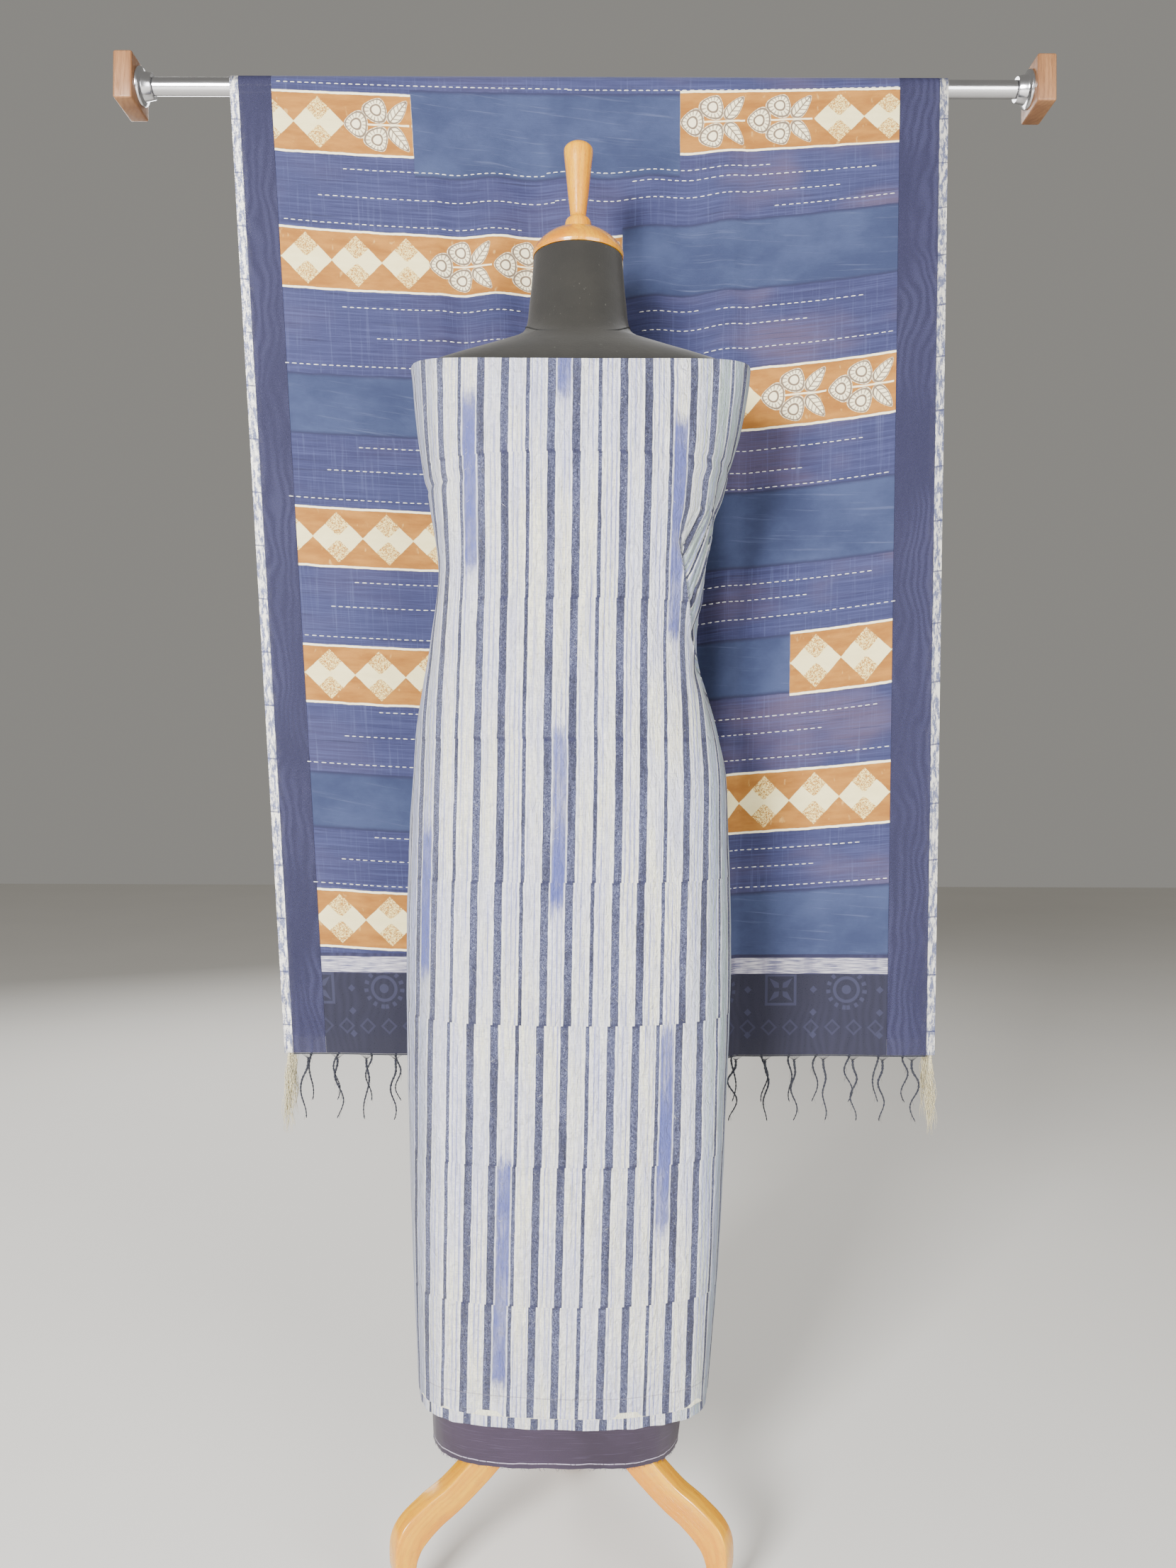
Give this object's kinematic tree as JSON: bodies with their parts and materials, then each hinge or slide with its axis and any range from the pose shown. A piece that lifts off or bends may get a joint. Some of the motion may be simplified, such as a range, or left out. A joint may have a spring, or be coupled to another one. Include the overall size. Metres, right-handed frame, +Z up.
{
  "type": "salwar kameez suit on a dress form with a hanging rail",
  "caption": "Striped kameez cloth and plain salwar cloth wrapped on a limbless dress form, with a printed, fringed dupatta hung over a rail behind it.",
  "frame": {"origin": "centre of the bottom of the box round the whole part, on the floor that the feet stand on", "axes": "+Z up; -Y towards the viewer, in front of the kameez; +X to the viewer's right along the rail"},
  "size_m": [1.192, 0.332, 1.81],
  "materials": {
    "kameez_cotton": "crinkled cotton, cream with indigo warp stripes, matte",
    "salwar_cotton": "plain aubergine navy cotton, matte",
    "dupatta_print": "block printed indigo silk cotton with running stitch, soft sheen",
    "dupatta_sheer": "sheer navy silk cotton, soft sheen",
    "zari": "silver thread weave",
    "fringe_thread": "twisted dark thread",
    "tassel_thread": "silver and cream thread",
    "form_cover": "matte charcoal jersey over a moulded torso",
    "varnished_wood": "honey coloured wood, glossy varnish",
    "block_walnut": "dark wood veneer, satin",
    "chrome": "polished chrome plate"
  },
  "bodies": {
    "root": {"kameez_outer_layer": "kameez_cotton", "kameez_inner_layer": "kameez_cotton", "salwar_cloth": "salwar_cotton", "dupatta_panel_front": "dupatta_print", "dupatta_border_left_front": "dupatta_sheer", "dupatta_border_right_front": "dupatta_sheer", "dupatta_end_front": "dupatta_sheer", "dupatta_selvedge_left_front": "zari", "dupatta_selvedge_right_front": "zari", "fringe_front": "fringe_thread", "tassel_front_left": "tassel_thread", "tassel_front_right": "tassel_thread", "dupatta_panel_back": "dupatta_print", "dupatta_border_left_back": "dupatta_sheer", "dupatta_border_right_back": "dupatta_sheer", "dupatta_end_back": "dupatta_sheer", "dupatta_selvedge_left_back": "zari", "dupatta_selvedge_right_back": "zari", "fringe_back": "fringe_thread", "tassel_back_left": "tassel_thread", "tassel_back_right": "tassel_thread", "form_body": "form_cover", "neck_cap": "varnished_wood", "finial": "varnished_wood", "stand_hub": "varnished_wood", "stand_pole": "varnished_wood", "leg_front_left": "varnished_wood", "leg_front_right": "varnished_wood", "leg_back": "varnished_wood", "rail_block_left": "block_walnut", "rail_block_right": "block_walnut", "rail_rod": "chrome", "rail_flange_left": "chrome", "rail_flange_right": "chrome"}
  },
  "joints": []
}
